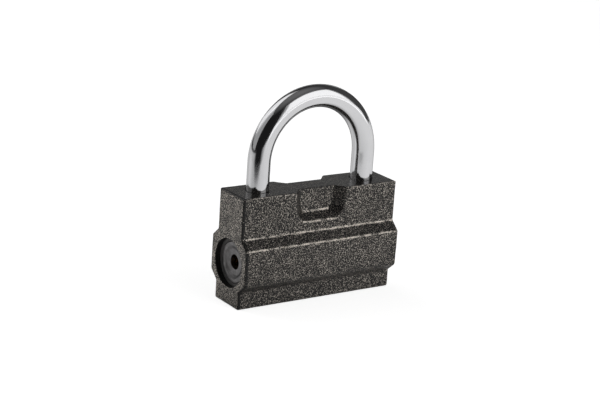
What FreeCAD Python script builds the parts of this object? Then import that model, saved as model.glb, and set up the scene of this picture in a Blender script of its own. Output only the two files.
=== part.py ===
"""Cast padlock with a removable round-bar shackle, two cam-driven bolts and a disc cylinder.

Millimetres, +Z up. The origin is the centre of the underside. +X runs along the body, away
from the keyhole, and -Y is the front. At rest the shackle is home and the bolts are withdrawn.
"""

import FreeCAD
import Part

import math
import os

V = FreeCAD.Vector

# Body
BODY_LENGTH = 80.2
BODY_HEIGHT = 50.0
UPPER_DEPTH = 19.7
BULGE_DEPTH = 28.5
BASE_DEPTH = 19.2
LEDGE_TOP_Z = 31.8
LEDGE_LOW_Z = 27.9
BULGE_LOW_Z = 12.0
BASE_TOP_Z = 8.0
TOP_ROUND = 0.5
INSIDE_ROUND = 0.8
LEDGE_ROUND = 0.9
BULGE_ROUND = 2.2
BASE_ROUND = 1.0
END_ROUND = 0.9

# Finger recess, one on each face: its rim on the face and its smaller floor
RECESS_FLOOR_DEPTH = 4.5
RIM_TOP_HALF = 13.2
RIM_LOW_HALF = 12.2
RIM_LOW_Z = 36.4
RIM_ROUND = 6.0
FLOOR_TOP_HALF = 9.2
FLOOR_LOW_HALF = 7.4
FLOOR_LOW_Z = 39.6
FLOOR_ROUND = 1.6

# Shackle
BAR_RADIUS = 5.0
LEG_HALF_SPACING = 27.3
LEG_STRAIGHT = 12.4
LEG_TIP_Z = 32.0
LEG_TIP_CHAMFER = 1.0
LEG_BORE_RADIUS = 5.1
LEG_BORE_FLOOR_Z = 31.8
LEG_BORE_CHAMFER = 0.15
NOTCH_LOW_Z = 36.1
NOTCH_HIGH_Z = 42.9
NOTCH_DEPTH = 3.6

# Lock cylinder, along X
BORE_Z = 18.8
BORE_RADIUS = 10.8
CHAMBER_RADIUS = 10.0
FIT = 0.02
RUN = 0.05
KEYHOLE_RADIUS = 3.27
MOUTH_X = -BODY_LENGTH / 2
SHELL_SETBACK = 2.6
SHELL_FRONT_X = MOUTH_X + SHELL_SETBACK
SHELL_BACK_X = -16.3
SHELL_INNER_RADIUS = 9.3
SHELL_GROOVE_WIDTH = 2.4
SHELL_GROOVE_DEPTH = 1.1
PLATE_SETBACK = 2.5
PLATE_THICKNESS = 3.0
PLATE_FRONT_X = MOUTH_X + PLATE_SETBACK
PLATE_BACK_X = PLATE_FRONT_X + PLATE_THICKNESS
PLATE_EDGE_CHAMFER = 0.25
DISH_RADIUS = 8.3
DISH_DEPTH = 0.55
CORE_END_PLAY = 0.2
CORE_FRONT_X = PLATE_BACK_X + CORE_END_PLAY
CORE_RADIUS = SHELL_INNER_RADIUS - RUN
CORE_CAVITY_RADIUS = 7.75
CORE_CAVITY_LENGTH = 14.0
CORE_BACK_WALL = 2.2
CORE_BACK_X = CORE_FRONT_X + CORE_CAVITY_LENGTH + CORE_BACK_WALL
STOP_RIB_WIDTH = 1.4
STOP_RIB_HEIGHT = 0.5
TONGUE_LENGTH = 4.4
TONGUE_WIDTH = 10.0
TONGUE_THICKNESS = 4.0
TONGUE_PLAY = 0.1
TONGUE_END_PLAY = 0.3

# Disc pack
DISC_COUNT = 7
PACK_START = 0.25
DISC_PITCH = 2.0
DISC_THICKNESS = 1.46
WASHER_THICKNESS = 0.5
STACK_GAP = 0.02
DISC_RADIUS = CORE_CAVITY_RADIUS - RUN
WASHER_RADIUS = 7.6
WASHER_HOLE_RADIUS = 3.6
WASHER_RIB_PLAY = 0.1
KEYWAY_RADIUS = 3.35
KEYWAY_FLAT = 0.4
DISC_CODE_DEG = [0, 54, 18, 72, 36, 90, 18]
GATE_WIDTH = 2.2
GATE_FLOOR_RADIUS = 6.55
FALSE_GATE_WIDTH = 1.6
FALSE_GATE_DEPTH = 0.45
FALSE_GATE_DEG = 38.0
FALSE_GATE_SPREAD = 0.2
STOP_RELIEF_DEG = 108.0
STOP_RELIEF_DEPTH = 0.62
SIDEBAR_WIDTH = 2.0
SIDEBAR_LENGTH = 12.6
SIDEBAR_FOOT_RADIUS = 6.62
SIDEBAR_TOP_RADIUS = 9.2
SIDEBAR_BEVEL = 0.45
SIDEBAR_SLOT_WIDTH = 2.08
SIDEBAR_SLOT_PLAY = 0.2
UP_DEG = 90.0
BACK_DEG = 0.0

# Snap ring that holds the core in the shell
RING_X0 = CORE_BACK_X + CORE_END_PLAY
RING_THICKNESS = 0.9
RING_INNER_RADIUS = 8.2
RING_OUTER_RADIUS = 9.95
RING_GROOVE_RADIUS = 10.0
RING_GAP_WIDTH = 5.0

# Barrel cam and thrust washer
CAM_X0 = -15.9
CAM_X1 = 17.75
CAM_RUN = 0.1
CAM_RADIUS = CHAMBER_RADIUS - CAM_RUN
CAM_WAIST_RADIUS = 7.2
CAM_WAIST_HALF = 4.6
CAM_END_CHAMFER = 0.6
GROOVE_FLOOR_RADIUS = 6.3
GROOVE_STEPS = 10
CAM_TURN_DEG = 90.0
CHAMBER_END_X = 18.3
THRUST_X0 = 17.8
THRUST_THICKNESS = 0.45
THRUST_RADIUS = 9.6
THRUST_HOLE_RADIUS = 5.0

# Bolts and the pins that follow the cam
BOLT_THROW = 4.0
BOLT_THICKNESS = 6.0
BOLT_TIP_X = 21.6
BOLT_INNER_X = 1.0
BOLT_LOW_Z = 36.9
BOLT_HIGH_Z = 42.1
BOLT_FOOT_X0 = 4.8
BOLT_FOOT_X1 = 13.4
BOLT_FOOT_Z = 30.0
BOLT_NOSE_CHAMFER = 0.6
BOLT_CORNER_ROUND = 1.2
BOLT_PLAY = 0.2
POCKET_HALF_LENGTH = 18.6
NOSE_WAY_PLAY = 0.3
PIN_RADIUS = 1.8
PIN_X = 9.0
PIN_LOW_Z = 25.4
PIN_HIGH_Z = 33.5
GROOVE_PLAY = 0.22
GROOVE_HALF_WIDTH = PIN_RADIUS + GROOVE_PLAY

# Split pin under the shell
SPLIT_PIN_X = -LEG_HALF_SPACING
SPLIT_PIN_RADIUS = 2.0
SPLIT_PIN_INNER_RADIUS = 1.15
SPLIT_PIN_SLOT = 0.7
SPLIT_PIN_LOW_Z = 0.3
SPLIT_PIN_HIGH_Z = 9.2

# Cutters run past what they cut by the overshoot, and reach past every turned part
OVERSHOOT = 1.0
CUTTER_RADIUS = 12.0
TOLERANCE = 1e-6

# A third of a turn about this diagonal takes +Z to +X
DIAGONAL = V(1, 1, 1)
THIRD_TURN_DEG = 120.0


def block(x0, x1, y0, y1, z0, z1):
    """Box between two corners."""
    return Part.makeBox(x1 - x0, y1 - y0, z1 - z0, V(x0, y0, z0))


def rod_x(radius, x0, x1):
    """Round bar on the cylinder's axis, from x0 to x1."""
    return Part.makeCylinder(radius, x1 - x0, V(x0, 0, BORE_Z), V(1, 0, 0))


def rod_z(radius, x, z0, z1):
    """Upright round bar at y = 0."""
    return Part.makeCylinder(radius, z1 - z0, V(x, 0, z0), V(0, 0, 1))


def cone_x(r0, r1, x0, x1):
    """Cone frustum on the cylinder's axis."""
    return Part.makeCone(r0, r1, x1 - x0, V(x0, 0, BORE_Z), V(1, 0, 0))


def turned(shape, degrees):
    """Copy of a shape, turned about the cylinder's axis. 0 points to +Y and 90 to +Z."""
    copy = shape.copy()
    copy.rotate(V(0, 0, BORE_Z), V(1, 0, 0), degrees)
    return copy


def radial_block(x0, x1, r0, r1, width, degrees):
    """Box that stands out from the cylinder's axis between two radii, at an angle."""
    bar = block(x0, x1, r0, r1, BORE_Z - width / 2, BORE_Z + width / 2)
    return turned(bar, degrees)


def mirrored_x(shape):
    """Copy of a shape on the other side of the middle plane."""
    return shape.mirror(V(0, 0, 0), V(1, 0, 0))


def rounded_outline(corners):
    """Closed wire through (point, radius) corners, with an arc at each corner that has a radius."""
    count = len(corners)
    starts, ends, arcs = [], [], []
    for i, (point, radius) in enumerate(corners):
        before = (corners[i - 1][0] - point).normalize()
        after = (corners[(i + 1) % count][0] - point).normalize()
        if radius <= 0:
            starts.append(point)
            ends.append(point)
            arcs.append(None)
            continue
        half = before.getAngle(after) / 2
        reach = radius / math.tan(half)
        bisector = (before + after).normalize()
        middle = point + bisector * (radius / math.sin(half) - radius)
        starts.append(point + before * reach)
        ends.append(point + after * reach)
        arcs.append(Part.Arc(starts[-1], middle, ends[-1]).toShape())
    edges = []
    for i in range(count):
        if arcs[i]:
            edges.append(arcs[i])
        edges.append(Part.LineSegment(ends[i], starts[(i + 1) % count]).toShape())
    return Part.Wire(edges)


def body_profile(x):
    """End outline of the casting: base, bulge round the bore, sloped ledge and narrower top."""
    half = [
        (BASE_DEPTH / 2, 0, BASE_ROUND),
        (BASE_DEPTH / 2, BASE_TOP_Z, INSIDE_ROUND),
        (BULGE_DEPTH / 2, BULGE_LOW_Z, BULGE_ROUND),
        (BULGE_DEPTH / 2, LEDGE_LOW_Z, LEDGE_ROUND),
        (UPPER_DEPTH / 2, LEDGE_TOP_Z, INSIDE_ROUND),
        (UPPER_DEPTH / 2, BODY_HEIGHT, TOP_ROUND),
    ]
    right = [(V(x, y, z), r) for y, z, r in half]
    left = [(V(x, -y, z), r) for y, z, r in reversed(half)]
    return rounded_outline(right + left)


def recess_outline(y, top_half, low_half, low_z, radius):
    """U-shaped outline, a little wider at its open top, which runs past the top of the body."""
    over_z = BODY_HEIGHT + OVERSHOOT
    slope = (top_half - low_half) / (BODY_HEIGHT - low_z)
    over_half = top_half + slope * OVERSHOOT
    corners = [
        (V(-over_half, y, over_z), 0),
        (V(-low_half, y, low_z), radius),
        (V(low_half, y, low_z), radius),
        (V(over_half, y, over_z), 0),
    ]
    return rounded_outline(corners)


def finger_recess():
    """Tapering pocket in the front face, from its rim to its floor, run on past the face."""
    share = OVERSHOOT / RECESS_FLOOR_DEPTH
    rim = (RIM_TOP_HALF, RIM_LOW_HALF, RIM_LOW_Z, RIM_ROUND)
    floor = (FLOOR_TOP_HALF, FLOOR_LOW_HALF, FLOOR_LOW_Z, FLOOR_ROUND)
    outside = [a + (a - b) * share for a, b in zip(rim, floor)]
    face_y = -UPPER_DEPTH / 2
    wires = [
        recess_outline(face_y - OVERSHOOT, *outside),
        recess_outline(face_y + RECESS_FLOOR_DEPTH, *floor),
    ]
    return Part.makeLoft(wires, True, True)


def bolt_space():
    """Cored pocket above the cam chamber, with a way out to each leg bore for a bolt's nose."""
    half_y = BOLT_THICKNESS / 2 + BOLT_PLAY
    roof = BOLT_HIGH_Z + NOSE_WAY_PLAY
    pocket = block(-POCKET_HALF_LENGTH, POCKET_HALF_LENGTH, -half_y, half_y, BORE_Z, roof)
    reach = LEG_HALF_SPACING
    ways = block(-reach, reach, -half_y, half_y, BOLT_LOW_Z - NOSE_WAY_PLAY, roof)
    return pocket.fuse(ways)


def leg_bore(x):
    """Blind bore for one leg of the shackle, chamfered at its mouth."""
    bore = rod_z(LEG_BORE_RADIUS, x, LEG_BORE_FLOOR_Z, BODY_HEIGHT + OVERSHOOT)
    wide = LEG_BORE_RADIUS + LEG_BORE_CHAMFER + OVERSHOOT
    low_z = BODY_HEIGHT - LEG_BORE_CHAMFER
    height = LEG_BORE_CHAMFER + OVERSHOOT
    return bore.fuse(Part.makeCone(LEG_BORE_RADIUS, wide, height, V(x, 0, low_z)))


def body_casting():
    """Grey-iron body with its bores, bolt pocket and two finger recesses."""
    end = -BODY_LENGTH / 2
    solid = Part.Face(body_profile(end)).extrude(V(BODY_LENGTH, 0, 0))
    rims = [e for e in solid.Edges if abs(e.BoundBox.XLength) < TOLERANCE]
    solid = solid.makeFillet(END_ROUND, rims)
    recess = finger_recess()
    cutters = [
        recess,
        recess.mirror(V(0, 0, 0), V(0, 1, 0)),
        rod_x(BORE_RADIUS, MOUTH_X - OVERSHOOT, SHELL_BACK_X + FIT),
        rod_x(CHAMBER_RADIUS, SHELL_BACK_X, CHAMBER_END_X),
        bolt_space(),
        leg_bore(-LEG_HALF_SPACING),
        leg_bore(LEG_HALF_SPACING),
        rod_z(SPLIT_PIN_RADIUS + FIT, SPLIT_PIN_X, -OVERSHOOT, BORE_Z),
    ]
    for cutter in cutters:
        solid = solid.cut(cutter)
    return solid


def shackle():
    """Round bar bent to a half circle on two straight legs, with a notch inside each leg."""
    spring_z = BODY_HEIGHT + LEG_STRAIGHT
    s = LEG_HALF_SPACING
    foot = V(-s, 0, LEG_TIP_Z)
    path = Part.Wire(
        [
            Part.LineSegment(foot, V(-s, 0, spring_z)).toShape(),
            Part.Arc(V(-s, 0, spring_z), V(0, 0, spring_z + s), V(s, 0, spring_z)).toShape(),
            Part.LineSegment(V(s, 0, spring_z), V(s, 0, LEG_TIP_Z)).toShape(),
        ]
    )
    section = Part.Wire(Part.makeCircle(BAR_RADIUS, foot, V(0, 0, 1)))
    bar = path.makePipeShell([section], True, True)
    tips = [e for e in bar.Edges if abs(e.BoundBox.ZMax - LEG_TIP_Z) < TOLERANCE]
    bar = bar.makeChamfer(LEG_TIP_CHAMFER, tips)
    inner = s - BAR_RADIUS
    notch = block(
        inner - OVERSHOOT, inner + NOTCH_DEPTH, -2 * BAR_RADIUS, 2 * BAR_RADIUS,
        NOTCH_LOW_Z, NOTCH_HIGH_Z,
    )
    return bar.cut(notch).cut(mirrored_x(notch))


def cylinder_shell():
    """Fixed sleeve of the lock cylinder, with the groove that the sidebar drops into."""
    shell = rod_x(BORE_RADIUS - FIT, SHELL_FRONT_X, SHELL_BACK_X)
    inside = rod_x(SHELL_INNER_RADIUS, SHELL_FRONT_X - OVERSHOOT, SHELL_BACK_X + OVERSHOOT)
    shell = shell.cut(inside)
    groove = radial_block(
        CORE_FRONT_X, CORE_FRONT_X + CORE_CAVITY_LENGTH, SHELL_INNER_RADIUS - OVERSHOOT,
        SHELL_INNER_RADIUS + SHELL_GROOVE_DEPTH, SHELL_GROOVE_WIDTH, BACK_DEG,
    )
    ring_seat = rod_x(RING_GROOVE_RADIUS, RING_X0 - RUN, RING_X0 + RING_THICKNESS + RUN)
    pin_hole = rod_z(SPLIT_PIN_RADIUS + FIT, SPLIT_PIN_X, 0, BORE_Z - CORE_RADIUS)
    return shell.cut(groove).cut(ring_seat).cut(pin_hole)


def front_plate():
    """Hardened plate round the keyhole, dished towards the hole."""
    radius = SHELL_INNER_RADIUS - FIT
    plate = rod_x(radius, PLATE_FRONT_X + PLATE_EDGE_CHAMFER, PLATE_BACK_X)
    bevel_x = PLATE_FRONT_X + PLATE_EDGE_CHAMFER
    plate = plate.fuse(cone_x(radius - PLATE_EDGE_CHAMFER, radius, PLATE_FRONT_X, bevel_x))
    dish = cone_x(DISH_RADIUS, KEYHOLE_RADIUS, PLATE_FRONT_X, PLATE_FRONT_X + DISH_DEPTH)
    hole = rod_x(KEYHOLE_RADIUS, PLATE_FRONT_X - OVERSHOOT, PLATE_BACK_X + OVERSHOOT)
    return plate.cut(dish).cut(hole).removeSplitter()


def core_barrel():
    """Turning cage for the discs, with the sidebar's slot, a stop rib and a driving tongue."""
    cage = rod_x(CORE_RADIUS, CORE_FRONT_X, CORE_BACK_X)
    cavity_end = CORE_FRONT_X + CORE_CAVITY_LENGTH
    cage = cage.cut(rod_x(CORE_CAVITY_RADIUS, CORE_FRONT_X - OVERSHOOT, cavity_end))
    rib = radial_block(
        CORE_FRONT_X, cavity_end, CORE_CAVITY_RADIUS - STOP_RIB_HEIGHT,
        CORE_CAVITY_RADIUS + STOP_RIB_HEIGHT, STOP_RIB_WIDTH, -UP_DEG,
    )
    slot_x0 = CORE_FRONT_X + (CORE_CAVITY_LENGTH - SIDEBAR_LENGTH) / 2 - SIDEBAR_SLOT_PLAY
    slot_x1 = slot_x0 + SIDEBAR_LENGTH + 2 * SIDEBAR_SLOT_PLAY
    slot_foot = CORE_CAVITY_RADIUS - OVERSHOOT
    slot = radial_block(
        slot_x0, slot_x1, slot_foot, CUTTER_RADIUS, SIDEBAR_SLOT_WIDTH, UP_DEG
    )
    tongue = block(
        CORE_BACK_X - OVERSHOOT, CORE_BACK_X + TONGUE_LENGTH, -TONGUE_WIDTH / 2, TONGUE_WIDTH / 2,
        BORE_Z - TONGUE_THICKNESS / 2, BORE_Z + TONGUE_THICKNESS / 2,
    )
    return cage.fuse(rib).cut(slot).fuse(tongue).removeSplitter()


def stack_x(index):
    """Front face of a disc in the pack."""
    return CORE_FRONT_X + PACK_START + index * DISC_PITCH


def disc(index):
    """Locking disc: half-round keyway turned by its code, one true gate and two false ones."""
    x0 = stack_x(index)
    x1 = x0 + DISC_THICKNESS
    before = x0 - OVERSHOOT
    beyond = x1 + OVERSHOOT
    plate = rod_x(DISC_RADIUS, x0, x1)
    keyway = rod_x(KEYWAY_RADIUS, before, beyond)
    lost_half = block(
        before, beyond, -CUTTER_RADIUS, -KEYWAY_FLAT, BORE_Z - CUTTER_RADIUS, BORE_Z + CUTTER_RADIUS
    )
    plate = plate.cut(turned(keyway.cut(lost_half), DISC_CODE_DEG[index]))
    plate = plate.cut(
        radial_block(before, beyond, GATE_FLOOR_RADIUS, CUTTER_RADIUS, GATE_WIDTH, UP_DEG)
    )
    false_floor = DISC_RADIUS - FALSE_GATE_DEPTH
    for side in (-1, 1):
        angle = UP_DEG + side * (FALSE_GATE_DEG + FALSE_GATE_SPREAD * DISC_CODE_DEG[index])
        plate = plate.cut(
            radial_block(before, beyond, false_floor, CUTTER_RADIUS, FALSE_GATE_WIDTH, angle)
        )
    relief = Part.makeCylinder(
        CUTTER_RADIUS, beyond - before, V(0, 0, 0), V(0, 0, 1), STOP_RELIEF_DEG
    )
    to_x = FreeCAD.Rotation(DIAGONAL, THIRD_TURN_DEG)
    relief.Placement = FreeCAD.Placement(V(before, 0, BORE_Z), to_x)
    relief = turned(relief, -UP_DEG - STOP_RELIEF_DEG / 2)
    relief = relief.cut(rod_x(DISC_RADIUS - STOP_RELIEF_DEPTH, before, beyond))
    return plate.cut(relief)


def spacer_washer(index):
    """Thin washer between two discs, notched for the sidebar and the stop rib."""
    x0 = stack_x(index) + DISC_THICKNESS + STACK_GAP
    x1 = x0 + WASHER_THICKNESS
    before = x0 - OVERSHOOT
    beyond = x1 + OVERSHOOT
    washer = rod_x(WASHER_RADIUS, x0, x1).cut(rod_x(WASHER_HOLE_RADIUS, before, beyond))
    gate = radial_block(before, beyond, GATE_FLOOR_RADIUS, CUTTER_RADIUS, GATE_WIDTH, UP_DEG)
    rib_floor = CORE_CAVITY_RADIUS - STOP_RIB_HEIGHT - WASHER_RIB_PLAY
    notch_width = STOP_RIB_WIDTH + 2 * WASHER_RIB_PLAY
    notch = radial_block(before, beyond, rib_floor, CUTTER_RADIUS, notch_width, -UP_DEG)
    return washer.cut(gate).cut(notch)


def sidebar():
    """Bar that ties the discs to the core, seated in the true gates, bevelled outside."""
    x0 = CORE_FRONT_X + (CORE_CAVITY_LENGTH - SIDEBAR_LENGTH) / 2
    half = SIDEBAR_WIDTH / 2
    low = BORE_Z + SIDEBAR_FOOT_RADIUS
    high = BORE_Z + SIDEBAR_TOP_RADIUS
    points = [
        V(x0, -half, low), V(x0, half, low), V(x0, half, high - SIDEBAR_BEVEL),
        V(x0, half - SIDEBAR_BEVEL, high), V(x0, SIDEBAR_BEVEL - half, high),
        V(x0, -half, high - SIDEBAR_BEVEL),
    ]
    outline = Part.makePolygon(points + points[:1])
    return Part.Face(outline).extrude(V(SIDEBAR_LENGTH, 0, 0))


def snap_ring():
    """Open ring behind the core, in its groove in the shell."""
    x1 = RING_X0 + RING_THICKNESS
    before = RING_X0 - OVERSHOOT
    beyond = x1 + OVERSHOOT
    ring = rod_x(RING_OUTER_RADIUS, RING_X0, x1).cut(rod_x(RING_INNER_RADIUS, before, beyond))
    return ring.cut(radial_block(before, beyond, 0, CUTTER_RADIUS, RING_GAP_WIDTH, -UP_DEG))


def cam_groove(side):
    """Helical groove for one follower pin: the pin's own path as the cam turns under it.

    At a turn t the pin stands at side * (PIN_X + throw * t) and the cam has turned back by t,
    so in the cam the pin is at the angle UP_DEG + t. Spans of a box between pin places, each
    turned and slid half a step on, join the round places into one groove.
    """
    steps = GROOVE_STEPS
    depth = CUTTER_RADIUS - GROOVE_FLOOR_RADIUS
    groove = None
    lead = BOLT_THROW / math.radians(CAM_TURN_DEG)
    length = math.hypot(BOLT_THROW, math.radians(CAM_TURN_DEG) * CAM_RADIUS) / steps
    slant = math.degrees(math.atan2(lead, CAM_RADIUS))
    for i in range(2 * steps + 1):
        share = i / (2 * steps)
        x = side * (PIN_X + BOLT_THROW * share)
        base = V(x, 0, BORE_Z + GROOVE_FLOOR_RADIUS)
        place = Part.makeCylinder(GROOVE_HALF_WIDTH, depth, base, V(0, 0, 1))
        if i % 2:
            place = block(
                -GROOVE_HALF_WIDTH, GROOVE_HALF_WIDTH, -length / 2, length / 2, 0, depth
            )
            place.rotate(V(0, 0, 0), V(0, 0, 1), side * slant)
            place.translate(base)
        place = turned(place, CAM_TURN_DEG * share)
        groove = place if groove is None else groove.fuse(place)
    return groove


def barrel_cam():
    """Drum that the core's tongue turns, waisted in the middle, with a groove for each bolt."""
    drum = rod_x(CAM_RADIUS, CAM_X0 + CAM_END_CHAMFER, CAM_X1 - CAM_END_CHAMFER)
    small = CAM_RADIUS - CAM_END_CHAMFER
    drum = drum.fuse(cone_x(small, CAM_RADIUS, CAM_X0, CAM_X0 + CAM_END_CHAMFER))
    drum = drum.fuse(cone_x(CAM_RADIUS, small, CAM_X1 - CAM_END_CHAMFER, CAM_X1))
    waist = rod_x(CUTTER_RADIUS, -CAM_WAIST_HALF, CAM_WAIST_HALF)
    drum = drum.cut(waist.cut(rod_x(CAM_WAIST_RADIUS, -CAM_WAIST_HALF, CAM_WAIST_HALF)))
    slot_y = TONGUE_WIDTH / 2 + TONGUE_PLAY
    slot_z = TONGUE_THICKNESS / 2 + TONGUE_PLAY
    slot_start = CAM_X0 - OVERSHOOT
    slot_end = CORE_BACK_X + TONGUE_LENGTH + TONGUE_END_PLAY
    slot = block(slot_start, slot_end, -slot_y, slot_y, BORE_Z - slot_z, BORE_Z + slot_z)
    drum = drum.cut(slot)
    return drum.cut(cam_groove(-1)).cut(cam_groove(1)).removeSplitter()


def thrust_washer():
    """Washer between the cam and the end of its chamber."""
    x1 = THRUST_X0 + THRUST_THICKNESS
    hole = rod_x(THRUST_HOLE_RADIUS, THRUST_X0 - OVERSHOOT, x1 + OVERSHOOT)
    return rod_x(THRUST_RADIUS, THRUST_X0, x1).cut(hole)


def right_bolt():
    """Flat bolt: a nose that enters the leg's notch, and a foot bored for the follower pin."""
    y = -BOLT_THICKNESS / 2
    corners = [
        (V(BOLT_INNER_X, y, BOLT_LOW_Z), 0),
        (V(BOLT_FOOT_X0, y, BOLT_LOW_Z), BOLT_CORNER_ROUND),
        (V(BOLT_FOOT_X0, y, BOLT_FOOT_Z), 0),
        (V(BOLT_FOOT_X1, y, BOLT_FOOT_Z), 0),
        (V(BOLT_FOOT_X1, y, BOLT_LOW_Z), BOLT_CORNER_ROUND),
        (V(BOLT_TIP_X, y, BOLT_LOW_Z), BOLT_NOSE_CHAMFER),
        (V(BOLT_TIP_X, y, BOLT_HIGH_Z), BOLT_NOSE_CHAMFER),
        (V(BOLT_INNER_X, y, BOLT_HIGH_Z), 0),
    ]
    plate = Part.Face(rounded_outline(corners)).extrude(V(0, BOLT_THICKNESS, 0))
    return plate.cut(rod_z(PIN_RADIUS + FIT / 2, PIN_X, BOLT_FOOT_Z - OVERSHOOT, PIN_HIGH_Z))


def right_follower_pin():
    """Pin pressed into the bolt's foot, down into the cam's groove."""
    return rod_z(PIN_RADIUS, PIN_X, PIN_LOW_Z, PIN_HIGH_Z)


def split_pin():
    """Slotted spring pin driven up through the base into the shell."""
    pin = rod_z(SPLIT_PIN_RADIUS, SPLIT_PIN_X, SPLIT_PIN_LOW_Z, SPLIT_PIN_HIGH_Z)
    over_z = SPLIT_PIN_HIGH_Z + OVERSHOOT
    pin = pin.cut(rod_z(SPLIT_PIN_INNER_RADIUS, SPLIT_PIN_X, -OVERSHOOT, over_z))
    half = SPLIT_PIN_SLOT / 2
    x1 = SPLIT_PIN_X + 2 * SPLIT_PIN_RADIUS
    return pin.cut(block(SPLIT_PIN_X, x1, -half, half, -OVERSHOOT, over_z))


def all_parts():
    """Every node's name and its solid."""
    parts = {
        "body_casting": body_casting(),
        "shackle": shackle(),
        "cylinder_shell": cylinder_shell(),
        "front_plate": front_plate(),
        "core_barrel": core_barrel(),
        "sidebar": sidebar(),
        "core_snap_ring": snap_ring(),
        "barrel_cam": barrel_cam(),
        "thrust_washer": thrust_washer(),
        "right_bolt": right_bolt(),
        "left_bolt": mirrored_x(right_bolt()),
        "right_follower_pin": right_follower_pin(),
        "left_follower_pin": mirrored_x(right_follower_pin()),
        "shell_split_pin": split_pin(),
    }
    for i in range(DISC_COUNT):
        parts[f"locking_disc_{i + 1}"] = disc(i)
    for i in range(DISC_COUNT - 1):
        parts[f"spacer_washer_{i + 1}"] = spacer_washer(i)
    return parts


def main():
    os.makedirs("parts", exist_ok=True)
    for name, shape in all_parts().items():
        count = len(shape.Solids)
        print(name, "valid", shape.isValid(), "solids", count, "mm3", round(shape.Volume, 1))
        solid = shape.Solids[0] if count == 1 else shape
        solid.exportStep(f"parts/{name}.step")


main()
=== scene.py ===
"""Padlock: hammered cast body, polished bar shackle and a dished front plate round the keyhole.

Laid out as an add-on. Each operator makes one piece or finishes one group of like pieces, one
makes the stage, and a sidebar panel lists them. Metres, +Z up, keyhole at the -X end.
"""

import itertools
import math

import bpy
import numpy as np
from bpy.props import FloatProperty, FloatVectorProperty, PointerProperty
from bpy.types import Operator, Panel, PropertyGroup
from mathutils import Matrix, Vector


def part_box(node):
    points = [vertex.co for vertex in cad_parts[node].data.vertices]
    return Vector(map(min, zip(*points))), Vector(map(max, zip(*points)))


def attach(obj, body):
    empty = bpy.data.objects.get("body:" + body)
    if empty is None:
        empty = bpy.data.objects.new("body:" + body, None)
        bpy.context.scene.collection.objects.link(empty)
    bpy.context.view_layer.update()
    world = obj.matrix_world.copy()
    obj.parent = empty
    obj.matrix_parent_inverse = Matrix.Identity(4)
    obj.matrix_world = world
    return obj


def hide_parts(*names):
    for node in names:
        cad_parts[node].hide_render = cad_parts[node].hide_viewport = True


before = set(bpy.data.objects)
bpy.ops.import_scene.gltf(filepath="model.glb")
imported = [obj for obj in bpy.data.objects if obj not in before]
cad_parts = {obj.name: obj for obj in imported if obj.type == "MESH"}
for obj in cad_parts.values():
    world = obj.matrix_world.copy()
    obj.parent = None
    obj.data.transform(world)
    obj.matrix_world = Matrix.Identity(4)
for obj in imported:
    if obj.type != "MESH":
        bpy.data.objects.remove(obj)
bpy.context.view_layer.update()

bl_info = {
    "name": "Cast padlock",
    "version": (1, 0, 0),
    "blender": (4, 5, 0),
    "location": "3D View > Sidebar > Padlock",
    "description": "Builds the visible pieces, finishes and stage of a cast padlock",
    "category": "Object",
}

MM = 0.001

# Body, from the casting's own box and the levels of its stepped outline
BODY_LOW, BODY_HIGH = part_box("body_casting")
BODY_HALF_LENGTH = BODY_HIGH.x
BODY_HEIGHT = BODY_HIGH.z
BULGE_HALF = BODY_HIGH.y
UPPER_HALF = 9.85 * MM
BASE_HALF = 9.6 * MM
BASE_TOP_Z = 8.0 * MM
BULGE_LOW_Z = 12.0 * MM
LEDGE_LOW_Z = 27.9 * MM
LEDGE_TOP_Z = 31.8 * MM
BASE_ROUND = 1.0 * MM
INSIDE_ROUND = 0.8 * MM
BULGE_ROUND = 2.2 * MM
LEDGE_ROUND = 0.9 * MM
TOP_ROUND = 0.5 * MM
END_ROUND = 0.9 * MM
SMALLEST_ROUND = 0.12 * MM
END_ROUND_ROWS = 6
END_FACE_ROWS = 26

# Hammered skin: cells of the two dents and of the sway, and the share of the coarse dents
COARSE_DENT = 1.5 * MM
FINE_DENT = 0.85 * MM
COARSE_SHARE = 0.6
SWAY_CELL = 3.2 * MM
TOP_CALM = 0.7

# Finger recess
RECESS_DEPTH = 4.5 * MM
RIM_TOP_HALF = 13.2 * MM
RIM_LOW_HALF = 12.2 * MM
RIM_LOW_Z = 36.4 * MM
RIM_ROUND = 6.0 * MM
FLOOR_TOP_HALF = 9.2 * MM
FLOOR_LOW_HALF = 7.4 * MM
FLOOR_LOW_Z = 39.6 * MM
FLOOR_ROUND = 1.6 * MM
RECESS_BLUR = 0.25 * MM

# Shackle, from its own box
SHACKLE_LOW, SHACKLE_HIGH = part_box("shackle")
BAR_RADIUS = SHACKLE_HIGH.y
LEG_X = SHACKLE_HIGH.x - BAR_RADIUS
BEND_Z = SHACKLE_HIGH.z - BAR_RADIUS - LEG_X
TIP_Z = SHACKLE_LOW.z
TIP_CHAMFER = 1.0 * MM
NOTCH_LOW_Z = 36.1 * MM
NOTCH_HIGH_Z = 42.9 * MM
NOTCH_DEPTH = 3.6 * MM
BEND_STEPS = 112
BAR_SIDES = 72

# Holes in the body
LEG_BORE_RADIUS = 5.1 * MM
LEG_BORE_FLOOR_Z = 31.8 * MM
LEG_BORE_CHAMFER = 0.15 * MM
BOLT_WAY_LOW_Z = 36.6 * MM
BOLT_WAY_HIGH_Z = 42.4 * MM
BOLT_WAY_HALF_WIDTH = 3.3 * MM
BOLT_WAY_END_X = 20.4 * MM
HOLE_STEP = 0.4 * MM
END_STEPS = 7
MIDDLE_STEPS = 86
TOP_SIDE_STEPS = 4
BOTTOM_SIDE_STEPS = 9
LEG_SQUARE_STEPS = 19
LEG_RIM_STEP = 16
PIN_SQUARE_STEPS = 9
PIN_RIM_STEP = 6
PIN_HOLE_RADIUS = 2.02 * MM
PIN_HOLE_DEPTH = 3.0 * MM

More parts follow.
